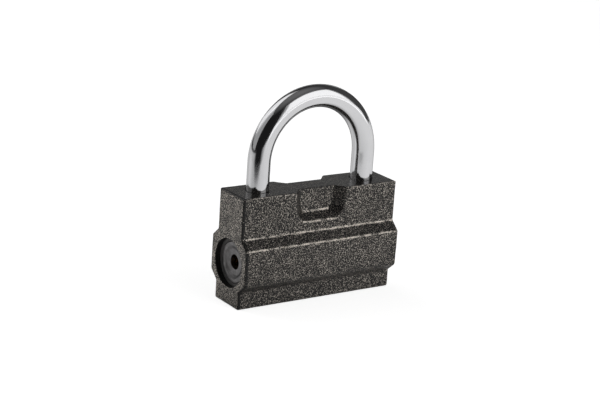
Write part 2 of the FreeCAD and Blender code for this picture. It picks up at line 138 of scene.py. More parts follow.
# Cylinder, along X
PLATE_LOW, PLATE_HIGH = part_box("front_plate")
SHELL_LOW, SHELL_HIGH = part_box("cylinder_shell")
CAM_LOW, CAM_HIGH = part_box("barrel_cam")
CYLINDER_Z = (PLATE_LOW.z + PLATE_HIGH.z) / 2
BORE_RADIUS = 10.8 * MM
CHAMBER_RADIUS = 10.0 * MM
CHAMBER_END_X = CAM_HIGH.x + 0.55 * MM
MOUTH_ROUND = 0.25 * MM
PLATE_RADIUS = PLATE_HIGH.y
KEYHOLE_RADIUS = 3.27 * MM
PLATE_BEVEL = 0.25 * MM
PLATE_SIDES = 160
DISH_WALL_FROM = 0.42
DISH_WALL_TO = 0.90

# Stage. The board's glow is (degrees round from +X towards +Y, level), near and far
LIGHT_DISTANCE = 1.3
LIGHT_AIM_Z = 0.06
FLOOR_HALF = 6.0
NEAR_GLOW = [
    (-180, 0.50), (-150, 0.64), (-90, 0.75), (-60, 0.81), (0, 0.80), (22, 0.50), (38, 0.10),
    (58, 0.10), (74, 0.40), (90, 0.64), (125, 0.60), (145, 0.78), (160, 0.70), (180, 0.50),
]
FAR_GLOW = [
    (-180, 0.50), (-174, 0.36), (-162, 0.012), (-119, 0.012), (-103, 0.42), (-86, 0.84),
    (-10, 0.84), (22, 0.50), (38, 0.10), (58, 0.10), (74, 0.40), (90, 0.64), (125, 0.58),
    (155, 0.62), (180, 0.46),
]
# Softboxes: name, azimuth, elevation, half width and half height in degrees, radiance
SOFTBOXES = [
    ("key_light", -31, 31, 26, 22, 0.82),
    ("key_halo", -30, 31, 31, 27, 0.32),
    ("key_skirt", -34, 2, 33, 6, 0.85),
    ("back_light", 158, 38, 18, 25, 0.72),
    ("back_halo", 155, 36, 26, 31, 0.28),
    ("backdrop_glow", -176, 2, 13, 8, 0.6),
    ("back_wall", -146, 14, 18, 10, 0.22),
    ("side_glow", 112, 30, 20, 27, 0.34),
]
CAMERA_YAW = 34.93
CAMERA_PITCH = 17.03
CAMERA_ROLL = 3.99
CAMERA_AIM_Z = 37.0 * MM
CAMERA_SHIFT = (-0.01355, 0.0205)
EDGE_AZIMUTH = 52.0
TABLE_EDGE_NEAR = 0.216
TABLE_EDGE_FAR = 0.225
SHADE_REACH = 0.045
SHADE_LEVEL = 0.50


class PadlockCoatSettings(PropertyGroup):
    """Hammered powder coat of the body."""

    black: FloatVectorProperty(
        name="Black", description="Ground colour of the coat", subtype="COLOR",
        default=(0.010, 0.0095, 0.009), min=0.0, max=1.0,
    )
    silver: FloatVectorProperty(
        name="Silver", description="Colour of the flecks", subtype="COLOR",
        default=(0.64, 0.585, 0.52), min=0.0, max=1.0,
    )
    grain: FloatProperty(
        name="Grain", description="Distance from one fleck to the next", unit="LENGTH",
        default=0.47 * MM, min=0.1 * MM,
    )
    dent_depth: FloatProperty(
        name="Dent depth", description="Depth of the hammered dents", unit="LENGTH",
        default=0.07 * MM, min=0.0,
    )
    sway_depth: FloatProperty(
        name="Sway depth", description="Depth of the slow waves of the cast skin", unit="LENGTH",
        default=0.08 * MM, min=0.0,
    )


class PadlockShackleSettings(PropertyGroup):
    """Chrome plate of the shackle."""

    chrome: FloatVectorProperty(
        name="Chrome", description="Colour of the plate", subtype="COLOR",
        default=(0.80, 0.80, 0.81), min=0.0, max=1.0,
    )
    roughness: FloatProperty(
        name="Roughness", description="Haze of the polish", default=0.10, min=0.0, max=1.0,
    )


class PadlockPlateSettings(PropertyGroup):
    """Front plate round the keyhole."""

    dish_radius: FloatProperty(
        name="Dish radius", description="Radius where the dish starts", unit="LENGTH",
        default=8.3 * MM, min=4.0 * MM,
    )
    dish_depth: FloatProperty(
        name="Dish depth", description="Depth of the dish at the keyhole", unit="LENGTH",
        default=0.85 * MM, min=0.0,
    )
    steel: FloatVectorProperty(
        name="Steel", description="Colour of the blackened steel", subtype="COLOR",
        default=(0.125, 0.121, 0.121), min=0.0, max=1.0,
    )


class PadlockStudioSettings(PropertyGroup):
    """Floor, lights and camera."""

    floor: FloatVectorProperty(
        name="Floor", description="Colour of the floor", subtype="COLOR",
        default=(0.92, 0.92, 0.92), min=0.0, max=1.0,
    )
    floor_glow: FloatProperty(
        name="Floor glow", description="Light given off by the floor", default=0.84, min=0.0,
    )
    camera_distance: FloatProperty(
        name="Camera distance", description="Camera to the middle of the lock", unit="LENGTH",
        default=0.7123, min=0.1,
    )
    lens: FloatProperty(
        name="Lens", description="Focal length on a 36 mm sensor", subtype="DISTANCE_CAMERA",
        default=97.1, min=20.0,
    )


def shape_grid(name, grid, start_pole=None, end_pole=None, close_rows=False, sharp_deg=50.0):
    """Mesh object from a grid of points, closed round its columns.

    grid is (rows, columns, 3). A pole closes an end with a fan of triangles, and close_rows
    joins the last row to the first. The normal is the column step crossed with the row step.
    """
    rows, columns, _ = grid.shape
    index = np.arange(rows * columns).reshape(rows, columns)
    if close_rows:
        index = np.vstack([index, index[:1]])
    ahead = np.roll(index, -1, axis=1)
    quads = np.stack([index[:-1], ahead[:-1], ahead[1:], index[1:]], axis=-1).reshape(-1, 4)
    points = [grid.reshape(-1, 3)]
    faces = quads.tolist()
    count = rows * columns
    if start_pole is not None:
        points.append(np.array([start_pole]))
        fan = np.stack([np.full(columns, count), ahead[0], index[0]], axis=-1)
        faces += fan.tolist()
        count += 1
    if end_pole is not None:
        points.append(np.array([end_pole]))
        fan = np.stack([index[-1], ahead[-1], np.full(columns, count)], axis=-1)
        faces += fan.tolist()
    mesh = bpy.data.meshes.new(name)
    mesh.from_pydata(np.concatenate(points).tolist(), [], faces)
    mesh.polygons.foreach_set("use_smooth", np.ones(len(mesh.polygons), dtype=bool))
    mesh.set_sharp_from_angle(angle=math.radians(sharp_deg))
    mesh.update()
    piece = bpy.data.objects.new(name, mesh)
    bpy.context.scene.collection.objects.link(piece)
    return piece


def grid_normals(grid):
    """Unit normals of a grid closed round its columns: column step crossed with row step."""
    across = np.roll(grid, -1, axis=1) - np.roll(grid, 1, axis=1)
    along = np.gradient(grid, axis=0)
    normal = np.cross(across, along)
    length = np.linalg.norm(normal, axis=-1, keepdims=True)
    return normal / np.maximum(length, 1e-12)


def lattice_noise(points, cell, seed):
    """Noise from 0 to 1: random values on a cubic lattice, blended by 3t^2 - 2t^3 on each axis."""
    place = (points - points.reshape(-1, 3).min(axis=0)) / cell
    base = np.floor(place).astype(int)
    share = place - base
    share = share * share * (3 - 2 * share)
    values = np.random.default_rng(seed).random(base.reshape(-1, 3).max(axis=0) + 2)
    total = np.zeros(points.shape[:-1])
    for corner in itertools.product((0, 1), repeat=3):
        weight = np.prod(np.where(np.array(corner) == 1, share, 1 - share), axis=-1)
        i, j, k = (base[..., axis] + corner[axis] for axis in range(3))
        total += weight * values[i, j, k]
    return total


# Corners of the body's outline, counter-clockwise from the base's +Y corner, seen from +X:
# place, rounding radius, steps on the arc, steps on the straight that follows.
BODY_CORNERS = [
    (BASE_HALF, 0.0, BASE_ROUND, 6, 13),
    (BASE_HALF, BASE_TOP_Z, INSIDE_ROUND, 3, 10),
    (BULGE_HALF, BULGE_LOW_Z, BULGE_ROUND, 5, 30),
    (BULGE_HALF, LEDGE_LOW_Z, LEDGE_ROUND, 4, 10),
    (UPPER_HALF, LEDGE_TOP_Z, INSIDE_ROUND, 3, 40),
    (UPPER_HALF, BODY_HEIGHT, TOP_ROUND, 4, 0),
    (-UPPER_HALF, BODY_HEIGHT, TOP_ROUND, 4, 40),
    (-UPPER_HALF, LEDGE_TOP_Z, INSIDE_ROUND, 3, 10),
    (-BULGE_HALF, LEDGE_LOW_Z, LEDGE_ROUND, 4, 30),
    (-BULGE_HALF, BULGE_LOW_Z, BULGE_ROUND, 5, 10),
    (-BASE_HALF, BASE_TOP_Z, INSIDE_ROUND, 3, 13),
    (-BASE_HALF, 0.0, BASE_ROUND, 6, 0),
]
TOP_CORNER = 5
BOTTOM_CORNER = 11


def stepped(*stops):
    """Stations through (place, steps) stops: even steps from each place to the next."""
    runs = [np.linspace(a[0], b[0], b[1] + 1)[1:] for a, b in zip(stops, stops[1:])]
    return np.concatenate([[stops[0][0]]] + runs)


def flat_shares(half_width, hole_half, side_steps, hole_steps):
    """Shares across a flat, with even small steps over the hole's square in its middle."""
    stations = stepped(
        (half_width, 0), (hole_half, side_steps), (-hole_half, 2 * hole_steps),
        (-half_width, side_steps),
    )
    return (half_width - stations[1:-1]) / (2 * half_width)


TOP_SHARES = flat_shares(
    UPPER_HALF - TOP_ROUND, HOLE_STEP * LEG_SQUARE_STEPS, TOP_SIDE_STEPS, LEG_SQUARE_STEPS
)
BOTTOM_SHARES = flat_shares(
    BASE_HALF - BASE_ROUND, HOLE_STEP * PIN_SQUARE_STEPS, BOTTOM_SIDE_STEPS, PIN_SQUARE_STEPS
)


def body_outline(inset):
    """Outline of the body moved inward by an inset, and the first column of each straight.

    Each straight moves along its normal, an outer corner's radius shrinks by the inset and an
    inner one's grows, and the arc turns at an even rate between the two straights.
    """
    corners = np.array([c[:2] for c in BODY_CORNERS])
    edge = np.roll(corners, -1, axis=0) - corners
    edge /= np.linalg.norm(edge, axis=1, keepdims=True)
    inward = np.stack([-edge[:, 1], edge[:, 0]], axis=1)
    before = np.roll(inward, 1, axis=0)
    spread = 1 + np.sum(before * inward, axis=1, keepdims=True)
    moved = corners + inset * (before + inward) / spread
    points, firsts, tangents = [], [], []
    for k, (_, _, radius, steps, _) in enumerate(BODY_CORNERS):
        back, out = -edge[k - 1], edge[k]
        outer = back[1] * out[0] - back[0] * out[1] > 0
        radius = max(radius - inset, SMALLEST_ROUND) if outer else radius + inset
        half = math.acos(np.clip(np.dot(back, out), -1, 1)) / 2
        middle = (back + out) / np.linalg.norm(back + out)
        centre = moved[k] + middle * radius / math.sin(half)
        first = moved[k] + back * radius / math.tan(half) - centre
        last = moved[k] + out * radius / math.tan(half) - centre
        turn = math.pi - 2 * half
        share = np.linspace(0, 1, steps + 1)[:, None]
        arc = (np.sin((1 - share) * turn) * first + np.sin(share * turn) * last) / math.sin(turn)
        tangents.append(centre + arc)
    for k, (_, _, _, _, steps) in enumerate(BODY_CORNERS):
        points.append(tangents[k])
        firsts.append(sum(len(p) for p in points) - 1)
        shares = np.linspace(0, 1, steps + 1)[1:-1] if steps else None
        shares = TOP_SHARES if k == TOP_CORNER else shares
        shares = BOTTOM_SHARES if k == BOTTOM_CORNER else shares
        start = tangents[k][-1]
        end = tangents[(k + 1) % len(BODY_CORNERS)][0]
        points.append(start + shares[:, None] * (end - start))
    return np.concatenate(points), firsts


def recess_share(x, z):
    """How far a place on a face lies between the recess's rim, 0, and its floor, 1.

    Every level between them is a round-cornered U. The share is found by halving: it is the
    last level whose U still holds the place.
    """
    low = np.zeros_like(x)
    high = np.ones_like(x)
    for _ in range(20):
        level = (low + high) / 2
        bottom = RIM_LOW_Z + (FLOOR_LOW_Z - RIM_LOW_Z) * level
        foot = RIM_LOW_HALF + (FLOOR_LOW_HALF - RIM_LOW_HALF) * level
        head = RIM_TOP_HALF + (FLOOR_TOP_HALF - RIM_TOP_HALF) * level
        radius = RIM_ROUND + (FLOOR_ROUND - RIM_ROUND) * level
        half = foot + (head - foot) * (z - bottom) / (BODY_HEIGHT - bottom)
        across = np.abs(x) - (half - radius)
        down = bottom + radius - z
        outside = np.hypot(np.maximum(across, 0), np.maximum(down, 0))
        held = outside + np.minimum(np.maximum(across, down), 0) < radius
        low = np.where(held, level, low)
        high = np.where(held, high, level)
    return low


def cut_recess(grid):
    """Moves the upper faces in by the recess's depth, blurred a little to round its edges."""
    x, y, z = np.moveaxis(grid, -1, 0)
    depth = np.zeros_like(x)
    for dx, dz in itertools.product((-RECESS_BLUR, 0.0, RECESS_BLUR), repeat=2):
        depth += recess_share(x + dx, np.minimum(z + dz, BODY_HEIGHT)) * RECESS_DEPTH / 9
    flat_half = UPPER_HALF - TOP_ROUND
    grid[..., 1] = np.sign(y) * (np.abs(y) - depth * np.minimum(1, np.abs(y) / flat_half))


def sink_hole(grid, rows, columns, centre, square_half, rim, radii, heights):
    """Turns a square block of a flat grid into a round hole.

    Rings are counted from the block's middle. Outside the rim ring, a point blends from the
    circle to the square. On and inside it, each ring takes a radius and a height from the
    lists, so the rings run down the wall and in over the floor.
    """
    count = len(rows) // 2
    i, k = np.meshgrid(np.arange(-count, count + 1), np.arange(-count, count + 1), indexing="ij")
    ring = np.maximum(np.abs(i), np.abs(k))
    p, q = i / np.maximum(ring, 1), k / np.maximum(ring, 1)
    on_x_side = np.abs(p) >= np.abs(q)
    from_x = np.where(p >= 0, q, 4 - q) * math.pi / 4
    from_y = np.where(q >= 0, 2 - p, p - 2) * math.pi / 4
    angle = np.where(on_x_side, from_x, from_y)
    circle = np.stack([np.cos(angle), np.sin(angle)], axis=-1)
    square = np.stack([p, q], axis=-1)
    blend = np.clip((ring - rim) / (count - rim), 0, 1)[..., None]
    radius = np.asarray(radii)[np.minimum(ring, rim)][..., None]
    flat = (1 - blend) * radius * circle + blend * square_half * square
    block = grid[np.ix_(rows, columns)]
    block[..., 0] = centre + flat[..., 0]
    block[..., 1] = flat[..., 1]
    block[..., 2] = np.asarray(heights)[np.minimum(ring, rim)]
    grid[np.ix_(rows, columns)] = block


def leg_bore_rings():
    """Radius and height of the leg bore's rings, from the middle of its floor to its rim."""
    r = LEG_BORE_RADIUS
    edge = 0.05 * MM
    radii = [0.0, r / 4, r / 2, 3 * r / 4] + [r] * 12 + [r + LEG_BORE_CHAMFER]
    wall = [
        LEG_BORE_FLOOR_Z, 34.2 * MM, BOLT_WAY_LOW_Z - edge, BOLT_WAY_LOW_Z + edge, 38.6 * MM,
        40.6 * MM, BOLT_WAY_HIGH_Z - edge, BOLT_WAY_HIGH_Z + edge, 44.0 * MM, 46.0 * MM,
        48.0 * MM, BODY_HEIGHT - LEG_BORE_CHAMFER,
    ]
    return radii, [LEG_BORE_FLOOR_Z] * 4 + wall + [BODY_HEIGHT]


def pin_hole_rings():
    """Radius and height of the split pin hole's rings, from the middle of its floor."""
    r = PIN_HOLE_RADIUS
    radii = [0.0, r / 2, r, r, r, r, r + 0.15 * MM]
    heights = [PIN_HOLE_DEPTH] * 3 + [2 * MM, 1 * MM, 0.15 * MM, 0.0]
    return radii, heights


def open_bolt_ways(grid):
    """Opens the side of each leg bore where the bolt's nose comes through."""
    x, y, z = np.moveaxis(grid, -1, 0)
    wall = (z > BOLT_WAY_LOW_Z) & (z < BOLT_WAY_HIGH_Z) & (np.abs(y) < BOLT_WAY_HALF_WIDTH)
    bore = np.hypot(np.abs(x) - LEG_X, y) < LEG_BORE_RADIUS * 1.01
    facing = bore & wall & (np.abs(x) < LEG_X)
    grid[..., 0] = np.where(facing, np.sign(x) * BOLT_WAY_END_X, x)


def body_grid():
    """The whole casting as one grid, and how much of the hammered skin each point takes.

    Rows run from the floor of the cylinder's chamber out along the bore, over the left end
    face, along the body and in over the right end face. Columns run round the outline.
    """
    square = HOLE_STEP * LEG_SQUARE_STEPS
    far_x = BODY_HALF_LENGTH - END_ROUND
    stations = stepped(
        (-far_x, 0), (-LEG_X - square, END_STEPS), (-LEG_X + square, 2 * LEG_SQUARE_STEPS),
        (LEG_X - square, MIDDLE_STEPS), (LEG_X + square, 2 * LEG_SQUARE_STEPS),
        (far_x, END_STEPS),
    )
    flat_outline, firsts = body_outline(0.0)
    tube = np.empty((len(stations), len(flat_outline), 3))
    tube[..., 0] = stations[:, None]
    tube[..., 1:] = flat_outline
    cut_recess(tube)

    leg_columns = firsts[TOP_CORNER] + TOP_SIDE_STEPS + np.arange(2 * LEG_SQUARE_STEPS + 1)
    radii, heights = leg_bore_rings()
    right_first = END_STEPS + 2 * LEG_SQUARE_STEPS + MIDDLE_STEPS
    for centre, first in ((-LEG_X, END_STEPS), (LEG_X, right_first)):
        rows = first + np.arange(2 * LEG_SQUARE_STEPS + 1)
        sink_hole(tube, rows, leg_columns[::-1], centre, square, LEG_RIM_STEP, radii, heights)
    open_bolt_ways(tube)
    pin_columns = firsts[BOTTOM_CORNER] + BOTTOM_SIDE_STEPS + np.arange(2 * PIN_SQUARE_STEPS + 1)
    pin_rows = END_STEPS + LEG_SQUARE_STEPS + np.arange(-PIN_SQUARE_STEPS, PIN_SQUARE_STEPS + 1)
    pin_square = HOLE_STEP * PIN_SQUARE_STEPS
    radii, heights = pin_hole_rings()
    # The bottom's columns run from -Y to +Y, the other way to the top's
    sink_hole(tube, pin_rows, pin_columns, -LEG_X, pin_square, PIN_RIM_STEP, radii, heights)

    angles = np.linspace(0, math.pi / 2, END_ROUND_ROWS + 1)[1:]
    rounds = []
    for angle in angles:
        outline, _ = body_outline(END_ROUND * (1 - math.cos(angle)))
        x = far_x + END_ROUND * math.sin(angle)
        rounds.append((x, outline))
    end_outline = rounds[-1][1]
    centre = np.array([0.0, CYLINDER_Z])
    out = end_outline - centre
    out /= np.linalg.norm(out, axis=1, keepdims=True)

    def ring(x, outline):
        """One row of the grid at an x."""
        return np.column_stack([np.full(len(outline), x), outline])

    def face(x, radius):
        """Rows over an end face, from its outline to a circle round the cylinder."""
        shares = np.linspace(0, 1, END_FACE_ROWS + 1)[1:]
        circle = centre + radius * out
        return [ring(x, end_outline + share * (circle - end_outline)) for share in shares]

    right = [ring(x, outline) for x, outline in rounds]
    right += face(BODY_HALF_LENGTH, 0.6 * MM)
    left = [ring(-x, outline) for x, outline in rounds]
    left += face(-BODY_HALF_LENGTH, BORE_RADIUS + MOUTH_ROUND)
    for angle in np.linspace(0, math.pi / 2, 4)[1:]:
        radius = BORE_RADIUS + MOUTH_ROUND * (1 - math.sin(angle))
        x = -BODY_HALF_LENGTH + MOUTH_ROUND * (1 - math.cos(angle))
        left.append(ring(x, centre + radius * out))
    skinned = len(left)
    bore = np.linspace(-BODY_HALF_LENGTH + MOUTH_ROUND, SHELL_HIGH.x, 12)[1:]
    left += [ring(x, centre + BORE_RADIUS * out) for x in bore]
    chamber = np.linspace(SHELL_HIGH.x, CHAMBER_END_X, 10)
    left += [ring(x, centre + CHAMBER_RADIUS * out) for x in chamber]
    left.append(ring(CHAMBER_END_X, centre + CHAMBER_RADIUS / 2 * out))
    grid = np.concatenate([np.array(left[::-1]), tube, np.array(right)])

    skin = np.ones(grid.shape[:2])
    skin[: len(left) - skinned] = 0.0
    inside = np.hypot(np.abs(grid[..., 0]) - LEG_X, grid[..., 1]) < LEG_BORE_RADIUS * 1.15
    skin[inside & (grid[..., 2] > LEDGE_TOP_Z - MM)] = 0.0
    pin_zone = np.hypot(grid[..., 0] + LEG_X, grid[..., 1]) < PIN_HOLE_RADIUS * 1.15
    skin[pin_zone & (grid[..., 2] < PIN_HOLE_DEPTH + MM)] = 0.0
    poles = (CHAMBER_END_X, 0.0, CYLINDER_Z), (BODY_HALF_LENGTH, 0.0, CYLINDER_Z)
    return grid, skin, poles


def hammered(grid, skin, dent_depth, sway_depth):
    """Sinks the skin along its normals: dents of two sizes and a slower sway, never outward."""
    dents = COARSE_SHARE * lattice_noise(grid, COARSE_DENT, 3)
    dents += (1 - COARSE_SHARE) * lattice_noise(grid, FINE_DENT, 5)
    sway = lattice_noise(grid, SWAY_CELL, 11)
    smooth_top = np.clip((BODY_HEIGHT - 0.2 * MM - grid[..., 2]) / (0.4 * MM), TOP_CALM, 1)
    depth = skin * (dents * dent_depth + sway * sway_depth) * smooth_top
    sunk = grid - grid_normals(grid) * depth[..., None]
    return np.clip(sunk, BODY_LOW, BODY_HIGH)


def shackle_grid():
    """Bar swept over a half circle on two legs: rows along the bar, columns round it.

    A point is the bar's centre plus radius times (cosine towards the inside of the bend, sine
    towards +Y). The inner part is clamped to a flat where the leg is notched.
    """
    edge = 0.04 * MM
    notched = BAR_RADIUS - NOTCH_DEPTH
    leg = [
        (TIP_Z, BAR_RADIUS - TIP_CHAMFER - edge, BAR_RADIUS),
        (TIP_Z + edge, BAR_RADIUS - TIP_CHAMFER, BAR_RADIUS),
        (TIP_Z + TIP_CHAMFER, BAR_RADIUS - edge, BAR_RADIUS),
        (TIP_Z + TIP_CHAMFER + edge, BAR_RADIUS, BAR_RADIUS),
        (NOTCH_LOW_Z - edge, BAR_RADIUS, BAR_RADIUS),
        (NOTCH_LOW_Z, BAR_RADIUS, notched),
        (NOTCH_HIGH_Z, BAR_RADIUS, notched),
        (NOTCH_HIGH_Z + edge, BAR_RADIUS, BAR_RADIUS),
    ]
    plain = np.linspace(NOTCH_HIGH_Z + edge, BEND_Z, 10)[1:]
    leg += [(z, BAR_RADIUS, BAR_RADIUS) for z in plain]
    z, radius, limit = np.array(leg).T
    bend = np.linspace(0, math.pi, BEND_STEPS + 1)[1:-1]
    left = np.full(len(z), -LEG_X)
    path_x = np.concatenate([left, -LEG_X * np.cos(bend), -left])
    path_z = np.concatenate([z, BEND_Z + LEG_X * np.sin(bend), z[::-1]])
    turn = np.concatenate([np.zeros(len(z)), bend, np.full(len(z), math.pi)])
    full = np.full(len(bend), BAR_RADIUS)
    radius = np.concatenate([radius, full, radius[::-1]])[:, None]
    limit = np.concatenate([limit, full, limit[::-1]])[:, None]
    angle = np.linspace(0, 2 * math.pi, BAR_SIDES, endpoint=False)[None, :]
    inner = np.minimum(radius * np.cos(angle), limit)
    side = radius * np.sin(angle)
    x = path_x[:, None] + inner * np.cos(turn)[:, None]
    up = path_z[:, None] - inner * np.sin(turn)[:, None]
    return np.stack([x, side, up], axis=-1)


def front_plate_grid(dish_radius, dish_depth):
    """Plate turned about the cylinder's axis from a closed profile of (radius, x) points.

    With s from the keyhole to the dish's rim, the floor of the dish is level up to DISH_WALL_FROM.
    Its wall then climbs by depth * (3w^2 - 2w^3), with w from 0 there to 1 at DISH_WALL_TO.
    """
    front, back = PLATE_LOW.x, PLATE_HIGH.x
    lip = 0.12 * MM
    share = np.linspace(0, 1, 33)
    wall = np.clip((share - DISH_WALL_FROM) / (DISH_WALL_TO - DISH_WALL_FROM), 0, 1)
    climb = wall * wall * (3 - 2 * wall)
    first = KEYHOLE_RADIUS + lip
    dish = [
        (first + (dish_radius - first) * s, front + dish_depth * (1 - c))
        for s, c in zip(share, climb)
    ]
    groove = 0.09 * MM
    rim = [
        (dish_radius + groove, front), (dish_radius + 4 * groove, front),
        (PLATE_RADIUS - PLATE_BEVEL - lip, front), (PLATE_RADIUS - PLATE_BEVEL, front + lip / 3),
        (PLATE_RADIUS - lip / 3, front + PLATE_BEVEL), (PLATE_RADIUS, front + PLATE_BEVEL + lip),
        (PLATE_RADIUS, back), (KEYHOLE_RADIUS, back), (KEYHOLE_RADIUS, back - MM),
        (KEYHOLE_RADIUS, front + dish_depth + lip),
    ]
    radius, x = np.array(dish + rim).T
    angle = np.linspace(0, 2 * math.pi, PLATE_SIDES, endpoint=False)[None, :]
    y = radius[:, None] * np.cos(angle)
    z = CYLINDER_Z + radius[:, None] * np.sin(angle)
    return np.stack([np.broadcast_to(x[:, None], y.shape), y, z], axis=-1)


class Finish:
    """A material being built: makes nodes and links them by name."""

    def __init__(self, name):
        self.material = bpy.data.materials.new(name)
        self.material.use_nodes = True
        self.tree = self.material.node_tree
        self.shader = self.tree.nodes["Principled BSDF"]

    def add(self, kind, settings=None, **inputs):
        """New node with its settings and inputs. An input is a value or another socket."""
        made = self.tree.nodes.new(kind)
        for key, value in (settings or {}).items():
            setattr(made, key, value)
        for key, value in inputs.items():
            self.put(made, key.replace("_", " "), value)
        return made

    def put(self, made, key, value):
        """Sets or links one input, named or numbered."""
        socket = made.inputs[int(key)] if key.isdigit() else made.inputs[key]
        if isinstance(value, bpy.types.NodeSocket):
            self.tree.links.new(value, socket)
        else:
            socket.default_value = value

    def math(self, operation, *values):
        """Math node's output."""
        made = self.add("ShaderNodeMath", {"operation": operation})
        for number, value in enumerate(values):
            self.put(made, str(number), value)
        return made.outputs[0]

    def vector(self, operation, a, b=None, output="Vector"):
        """Vector math node's output."""
        made = self.add("ShaderNodeVectorMath", {"operation": operation})
        self.put(made, "0", a)
        if b is not None:
            self.put(made, "1", b)
        return made.outputs[output]

    def radius(self, a, b):
        """Root of the sum of two squares."""
        squares = self.math("ADD", self.math("MULTIPLY", a, a), self.math("MULTIPLY", b, b))
        return self.math("SQRT", squares)

    def place(self):
        """Object coordinates."""
        return self.add("ShaderNodeTexCoord").outputs["Object"]

    def noise(self, place, cell, detail=2.0, roughness=0.5, distortion=0.0):
        """Noise with features about a cell across."""
        made = self.add(
            "ShaderNodeTexNoise", Vector=place, Scale=1 / cell, Detail=detail,
            Roughness=roughness, Distortion=distortion,
        )
        return made.outputs["Fac"]

    def ramp(self, value, *stops):
        """Smooth steps through (position, level) stops."""
        made = self.add("ShaderNodeValToRGB", {}, Fac=value)
        made.color_ramp.interpolation = "EASE"
        for element, (position, level) in zip(made.color_ramp.elements, stops):
            element.position = position
            element.color = (level, level, level, 1)
        for position, level in stops[2:]:
            made.color_ramp.elements.new(position).color = (level, level, level, 1)
        return made.outputs["Color"]

    def mix(self, share, a, b):
        """Colour between a and b."""
        made = self.add("ShaderNodeMix", {"data_type": "RGBA"})
        for key, value in (("0", share), ("6", a), ("7", b)):
            value = (*value, 1) if isinstance(value, (tuple, list, Vector)) else value
            self.put(made, key, value)
        return made.outputs[2]

    def bump(self, height, distance, strength=1.0, normal=None):
        """Bump from a height between 0 and 1."""
        made = self.add("ShaderNodeBump", Height=height, Distance=distance, Strength=strength)
        if normal is not None:
            self.put(made, "Normal", normal)
        return made.outputs["Normal"]


def colour(value):
    """A property's colour as a plain tuple."""
    return tuple(value)


# Edges where extra silver is laid as painted highlight lines: half depth, level, and how far along
# X it reaches
EDGE_HIGHLIGHT_LINES = [
    (UPPER_HALF, LEDGE_TOP_Z, BODY_HALF_LENGTH),
    (BULGE_HALF - 0.2 * MM, LEDGE_LOW_Z, BODY_HALF_LENGTH),
    (UPPER_HALF, BODY_HEIGHT, BODY_HALF_LENGTH),
    (UPPER_HALF, RIM_LOW_Z, RIM_LOW_HALF - RIM_ROUND / 2),
    (UPPER_HALF - RECESS_DEPTH, FLOOR_LOW_Z, FLOOR_LOW_HALF),
]
EDGE_HIGHLIGHT_REACH = 0.75 * MM
EDGE_HIGHLIGHT_GAIN = 0.52

# Painted sheen as silver on the end faces, and painted shade as a dark band inward from the
# corners of the keyhole's end
END_SHEEN_DEPTH = 0.22 * MM
END_SHEEN_SILVER = 0.055
SHADE_BAND_DEPTH = 4 * MM
SHADE_BAND_STOPS = ((0.0, 0.0), (0.06, 1.0), (0.26, 1.0), (0.42, 0.0))
SHADE_BAND_DARK = 0.09

# Coat: share of the veins in the grit, and the grit levels where black ends and silver starts
VEIN_SHARE = 0.62
CLOUD_CELLS = 7
CLOUD_SHARE = 0.05
BLACK_ENDS = 0.556
SILVER_STARTS = 0.620
COAT_ROUGHNESS = 0.42
COAT_SPECULAR = 0.3
COAT_BUMP = 0.035 * MM

# How the coat changes on the top, and how it is made plain black in the cylinder's bore as painted
# shade
TOP_FADE_FROM = 0.5 * MM
TOP_FADE = 0.3 * MM
TOP_PLAIN = 0.42
TOP_GLOSS = 0.20
BORE_SHADE_PLAIN = 0.95
BORE_DULL = 0.4
BORE_MARGIN = 0.1 * MM
CHAMBER_MARGIN = 0.2 * MM


def silver_edges(f, x, y, z):
    """How much silver is laid along the body's long edges as painted highlight lines, 0 to 1."""
    most = 0.0
    deep, far = f.math("ABSOLUTE", y), f.math("ABSOLUTE", x)
    for half, level, reach in EDGE_HIGHLIGHT_LINES:
        across = f.math("SUBTRACT", deep, half)
        up = f.math("SUBTRACT", z, level)
        near = f.radius(across, up)
        near = f.math("SUBTRACT", 1.0, f.math("MULTIPLY", near, 1 / EDGE_HIGHLIGHT_REACH))
        near = f.math("MULTIPLY", near, f.math("LESS_THAN", far, reach))
        most = f.math("MAXIMUM", most, near)
    return most


def silver_ends(f, x):
    """Silver added on the two end faces as painted sheen, and taken away along the corners of the
    keyhole's end as painted shade.
    """
    inward = f.math("SUBTRACT", BODY_HALF_LENGTH, f.math("ABSOLUTE", x))
    face = f.math("LESS_THAN", inward, END_SHEEN_DEPTH)
    shade_band = f.ramp(f.math("MULTIPLY", inward, 1 / SHADE_BAND_DEPTH), *SHADE_BAND_STOPS)
    shade_band = f.math("MULTIPLY", shade_band, f.math("LESS_THAN", x, 0.0))
    face = f.math("MULTIPLY", face, END_SHEEN_SILVER)
    return f.math("SUBTRACT", face, f.math("MULTIPLY", shade_band, SHADE_BAND_DARK))


